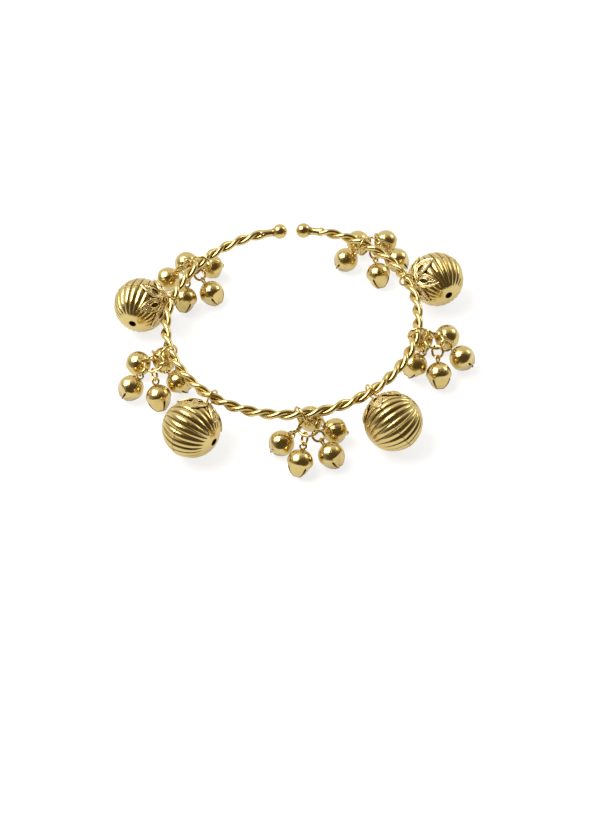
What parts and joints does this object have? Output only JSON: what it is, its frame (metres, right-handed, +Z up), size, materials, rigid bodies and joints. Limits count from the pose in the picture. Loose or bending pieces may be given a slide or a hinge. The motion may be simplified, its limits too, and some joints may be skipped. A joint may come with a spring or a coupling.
{
  "type": "ghungroo bangle",
  "caption": "Open twisted-wire bangle with ball ends, hung with fluted hollow beads under leaf caps and clusters of small pellet bells on jump rings that jingle as the arm moves.",
  "frame": {"origin": "middle of the part's bounding box, on the table it lies on", "axes": "+Z up through the wrist opening, +Y towards the gap between the ball ends, +X to the right when the gap is at the back"},
  "size_m": [0.0908, 0.0802, 0.0144],
  "materials": {
    "wire": "polished drawn wire with a yellow gold wash, darker in the grooves of the twist",
    "sheet": "polished pressed sheet with a yellow gold wash, brown tarnish in flutes and slits",
    "leaf": "cast filigree with a duller gold wash and dark recesses"
  },
  "bodies": {
    "cuff": {"strand_a": "wire", "strand_b": "wire", "end_ball_left": "wire", "end_ball_right": "wire"},
    "bead_1": {"bead_1_eye": "wire", "bead_1_shell_a": "sheet", "bead_1_shell_b": "sheet", "bead_1_cap": "leaf"},
    "bead_2": {"bead_2_eye": "wire", "bead_2_shell_a": "sheet", "bead_2_shell_b": "sheet", "bead_2_cap": "leaf"},
    "bead_3": {"bead_3_eye": "wire", "bead_3_shell_a": "sheet", "bead_3_shell_b": "sheet", "bead_3_cap": "leaf"},
    "bead_4": {"bead_4_eye": "wire", "bead_4_shell_a": "sheet", "bead_4_shell_b": "sheet", "bead_4_cap": "leaf"},
    "cluster_1_ring": {"cluster_1_rope_ring": "wire"},
    "cluster_1_hub": {"cluster_1_hub_ring": "wire"},
    "cluster_1_bell_1": {"cluster_1_bell_1": "sheet"},
    "cluster_1_bell_2": {"cluster_1_bell_2": "sheet"},
    "cluster_1_bell_3": {"cluster_1_bell_3": "sheet"},
    "cluster_1_bell_4": {"cluster_1_bell_4": "sheet"},
    "cluster_1_bell_5": {"cluster_1_bell_5": "sheet"},
    "cluster_2_ring": {"cluster_2_rope_ring": "wire"},
    "cluster_2_hub": {"cluster_2_hub_ring": "wire"},
    "cluster_2_bell_1": {"cluster_2_bell_1": "sheet"},
    "cluster_2_bell_2": {"cluster_2_bell_2": "sheet"},
    "cluster_2_bell_3": {"cluster_2_bell_3": "sheet"},
    "cluster_2_bell_4": {"cluster_2_bell_4": "sheet"},
    "cluster_2_bell_5": {"cluster_2_bell_5": "sheet"},
    "cluster_3_ring": {"cluster_3_rope_ring": "wire"},
    "cluster_3_hub": {"cluster_3_hub_ring": "wire"},
    "cluster_3_bell_1": {"cluster_3_bell_1": "sheet"},
    "cluster_3_bell_2": {"cluster_3_bell_2": "sheet"},
    "cluster_3_bell_3": {"cluster_3_bell_3": "sheet"},
    "cluster_3_bell_4": {"cluster_3_bell_4": "sheet"},
    "cluster_3_bell_5": {"cluster_3_bell_5": "sheet"},
    "cluster_4_ring": {"cluster_4_rope_ring": "wire"},
    "cluster_4_hub": {"cluster_4_hub_ring": "wire"},
    "cluster_4_bell_1": {"cluster_4_bell_1": "sheet"},
    "cluster_4_bell_2": {"cluster_4_bell_2": "sheet"},
    "cluster_4_bell_3": {"cluster_4_bell_3": "sheet"},
    "cluster_4_bell_4": {"cluster_4_bell_4": "sheet"},
    "cluster_4_bell_5": {"cluster_4_bell_5": "sheet"},
    "cluster_5_ring": {"cluster_5_rope_ring": "wire"},
    "cluster_5_hub": {"cluster_5_hub_ring": "wire"},
    "cluster_5_bell_1": {"cluster_5_bell_1": "sheet"},
    "cluster_5_bell_2": {"cluster_5_bell_2": "sheet"},
    "cluster_5_bell_3": {"cluster_5_bell_3": "sheet"},
    "cluster_5_bell_4": {"cluster_5_bell_4": "sheet"},
    "cluster_5_bell_5": {"cluster_5_bell_5": "sheet"}
  },
  "joints": [
    {"name": "bead_1_swing", "type": "hinge", "parent": "cuff", "child": "bead_1", "pos_m": [-0.03033, 0.01092, 0.01044], "axis": [0.2419, 0.9703, 0], "range_deg": [-15, 90]},
    {"name": "bead_2_swing", "type": "hinge", "parent": "cuff", "child": "bead_2", "pos_m": [-0.01878, -0.02168, 0.01044], "axis": [-0.7986, 0.6018, 0], "range_deg": [-60, 90]},
    {"name": "bead_3_swing", "type": "hinge", "parent": "cuff", "child": "bead_3", "pos_m": [0.01893, -0.02168, 0.01044], "axis": [-0.7986, -0.6018, 0], "range_deg": [-45, 90]},
    {"name": "bead_4_swing", "type": "hinge", "parent": "cuff", "child": "bead_4", "pos_m": [0.02912, 0.01508, 0.01044], "axis": [0.3746, -0.9272, 0], "range_deg": [-60, 90]},
    {"name": "cluster_1_ring_swing", "type": "hinge", "parent": "cuff", "child": "cluster_1_ring", "pos_m": [-0.02321, 0.02431, 0.01044], "axis": [0.6691, 0.7431, 0], "range_deg": [-60, 75]},
    {"name": "cluster_1_hub_swing", "type": "hinge", "parent": "cluster_1_ring", "child": "cluster_1_hub", "pos_m": [-0.02358, 0.02464, 0.00813], "axis": [-0.0175, 0.9998, 0], "range_deg": [-20, 5]},
    {"name": "cluster_1_bell_1_swing", "type": "hinge", "parent": "cluster_1_hub", "child": "cluster_1_bell_1", "pos_m": [-0.02433, 0.02636, 0.00813], "axis": [0.7193, -0.6947, 0], "range_deg": [-3, 30]},
    {"name": "cluster_1_bell_2_swing", "type": "hinge", "parent": "cluster_1_hub", "child": "cluster_1_bell_2", "pos_m": [-0.02679, 0.02693, 0.00813], "axis": [0.9511, 0.309, 0], "range_deg": [-8, 60]},
    {"name": "cluster_1_bell_3_swing", "type": "hinge", "parent": "cluster_1_hub", "child": "cluster_1_bell_3", "pos_m": [-0.02845, 0.02494, 0.00813], "axis": [0.1392, 0.9903, 0], "range_deg": [-8, 60]},
    {"name": "cluster_1_bell_4_swing", "type": "hinge", "parent": "cluster_1_hub", "child": "cluster_1_bell_4", "pos_m": [-0.0267, 0.02224, 0.00813], "axis": [-0.9613, 0.2756, 0], "range_deg": [-8, 25]},
    {"name": "cluster_1_bell_5_swing", "type": "hinge", "parent": "cluster_1_hub", "child": "cluster_1_bell_5", "pos_m": [-0.02427, 0.02289, 0.00813], "axis": [-0.6947, -0.7193, 0], "range_deg": [-8, 40]},
    {"name": "cluster_2_ring_swing", "type": "hinge", "parent": "cuff", "child": "cluster_2_ring", "pos_m": [-0.02955, -0.00686, 0.01044], "axis": [-0.3256, 0.9455, 0], "range_deg": [-60, 75]},
    {"name": "cluster_2_hub_swing", "type": "hinge", "parent": "cluster_2_ring", "child": "cluster_2_hub", "pos_m": [-0.03157, -0.00755, 0.00941], "axis": [-0.4848, 0.8746, 0], "range_deg": [-20, 8]},
    {"name": "cluster_2_bell_1_swing", "type": "hinge", "parent": "cluster_2_hub", "child": "cluster_2_bell_1", "pos_m": [-0.03347, -0.00628, 0.00914], "axis": [0.9747, -0.0991, 0.2006], "range_deg": [-3, 25]},
    {"name": "cluster_2_bell_2_swing", "type": "hinge", "parent": "cluster_2_hub", "child": "cluster_2_bell_2", "pos_m": [-0.03565, -0.00732, 0.00854], "axis": [0.536, 0.8162, 0.2156], "range_deg": [-4, 60]},
    {"name": "cluster_2_bell_3_swing", "type": "hinge", "parent": "cluster_2_hub", "child": "cluster_2_bell_3", "pos_m": [-0.03575, -0.00982, 0.00822], "axis": [-0.4699, 0.8827, 0.0042], "range_deg": [-8, 60]},
    {"name": "cluster_2_bell_4_swing", "type": "hinge", "parent": "cluster_2_hub", "child": "cluster_2_bell_4", "pos_m": [-0.03366, -0.01113, 0.00852], "axis": [-0.9773, 0.0299, -0.2095], "range_deg": [-4, 60]},
    {"name": "cluster_2_bell_5_swing", "type": "hinge", "parent": "cluster_2_hub", "child": "cluster_2_bell_5", "pos_m": [-0.03156, -0.00994, 0.00912], "axis": [-0.4777, -0.8537, -0.2074], "range_deg": [-3, 22]},
    {"name": "cluster_3_ring_swing", "type": "hinge", "parent": "cuff", "child": "cluster_3_ring", "pos_m": [0.00226, -0.02791, 0.01044], "axis": [-0.9976, -0.0698, 0], "range_deg": [-60, 90]},
    {"name": "cluster_3_hub_swing", "type": "hinge", "parent": "cluster_3_ring", "child": "cluster_3_hub", "pos_m": [0.00231, -0.02864, 0.00819], "axis": [-0.6947, -0.7193, 0], "range_deg": [-20, 5]},
    {"name": "cluster_3_bell_1_swing", "type": "hinge", "parent": "cluster_3_hub", "child": "cluster_3_bell_1", "pos_m": [0.00162, -0.03051, 0.00819], "axis": [-0.0698, 0.9976, 0], "range_deg": [-8, 34]},
    {"name": "cluster_3_bell_2_swing", "type": "hinge", "parent": "cluster_3_hub", "child": "cluster_3_bell_2", "pos_m": [0.00323, -0.03264, 0.00819], "axis": [-0.9397, 0.342, 0], "range_deg": [-8, 60]},
    {"name": "cluster_3_bell_3_swing", "type": "hinge", "parent": "cluster_3_hub", "child": "cluster_3_bell_3", "pos_m": [0.00589, -0.03198, 0.00819], "axis": [-0.6691, -0.7431, 0], "range_deg": [-8, 60]},
    {"name": "cluster_3_bell_4_swing", "type": "hinge", "parent": "cluster_3_hub", "child": "cluster_3_bell_4", "pos_m": [0.00631, -0.02934, 0.00819], "axis": [0.4067, -0.9135, 0], "range_deg": [-8, 25]},
    {"name": "cluster_3_bell_5_swing", "type": "hinge", "parent": "cluster_3_hub", "child": "cluster_3_bell_5", "pos_m": [0.00415, -0.02789, 0.00819], "axis": [0.9994, -0.0349, 0], "range_deg": [-8, 22]},
    {"name": "cluster_4_ring_swing", "type": "hinge", "parent": "cuff", "child": "cluster_4_ring", "pos_m": [0.0306, -0.0037, 0.01044], "axis": [-0.225, -0.9744, 0], "range_deg": [-60, 90]},
    {"name": "cluster_4_hub_swing", "type": "hinge", "parent": "cluster_4_ring", "child": "cluster_4_hub", "pos_m": [0.03267, -0.00418, 0.00941], "axis": [-0.1908, -0.9816, 0], "range_deg": [-20, 8]},
    {"name": "cluster_4_bell_1_swing", "type": "hinge", "parent": "cluster_4_hub", "child": "cluster_4_bell_1", "pos_m": [0.03331, -0.00638, 0.00914], "axis": [-0.6829, 0.7024, 0.2006], "range_deg": [-3, 25]},
    {"name": "cluster_4_bell_2_swing", "type": "hinge", "parent": "cluster_4_hub", "child": "cluster_4_bell_2", "pos_m": [0.03565, -0.00698, 0.00854], "axis": [-0.9353, -0.2807, 0.2156], "range_deg": [-4, 60]},
    {"name": "cluster_4_bell_3_swing", "type": "hinge", "parent": "cluster_4_hub", "child": "cluster_4_bell_3", "pos_m": [0.03733, -0.00513, 0.00822], "axis": [-0.2074, -0.9782, 0.0042], "range_deg": [-8, 60]},
    {"name": "cluster_4_bell_4_swing", "type": "hinge", "parent": "cluster_4_hub", "child": "cluster_4_bell_4", "pos_m": [0.03658, -0.00278, 0.00852], "axis": [0.7295, -0.6512, -0.2095], "range_deg": [-4, 60]},
    {"name": "cluster_4_bell_5_swing", "type": "hinge", "parent": "cluster_4_hub", "child": "cluster_4_bell_5", "pos_m": [0.03421, -0.00234, 0.00912], "axis": [0.9147, 0.3469, -0.2074], "range_deg": [-3, 22]},
    {"name": "cluster_5_ring_swing", "type": "hinge", "parent": "cuff", "child": "cluster_5_ring", "pos_m": [0.01893, 0.02837, 0.01044], "axis": [0.7986, -0.6018, 0], "range_deg": [-60, 75]},
    {"name": "cluster_5_hub_swing", "type": "hinge", "parent": "cluster_5_ring", "child": "cluster_5_hub", "pos_m": [0.01932, 0.02889, 0.00817], "axis": [0.7986, -0.6018, 0], "range_deg": [-20, 20]},
    {"name": "cluster_5_bell_1_swing", "type": "hinge", "parent": "cluster_5_hub", "child": "cluster_5_bell_1", "pos_m": [0.02134, 0.02846, 0.00817], "axis": [-0.9744, -0.225, 0], "range_deg": [-8, 25]},
    {"name": "cluster_5_bell_2_swing", "type": "hinge", "parent": "cluster_5_hub", "child": "cluster_5_bell_2", "pos_m": [0.02318, 0.03029, 0.00817], "axis": [-0.225, -0.9744, 0], "range_deg": [-8, 40]},
    {"name": "cluster_5_bell_3_swing", "type": "hinge", "parent": "cluster_5_hub", "child": "cluster_5_bell_3", "pos_m": [0.0222, 0.03285, 0.00817], "axis": [0.8192, -0.5736, 0], "range_deg": [-8, 60]},
    {"name": "cluster_5_bell_4_swing", "type": "hinge", "parent": "cluster_5_hub", "child": "cluster_5_bell_4", "pos_m": [0.01953, 0.03294, 0.00817], "axis": [0.8572, 0.515, 0], "range_deg": [-8, 60]},
    {"name": "cluster_5_bell_5_swing", "type": "hinge", "parent": "cluster_5_hub", "child": "cluster_5_bell_5", "pos_m": [0.01835, 0.03063, 0.00817], "axis": [-0.0872, 0.9962, 0], "range_deg": [-8, 22]}
  ]
}
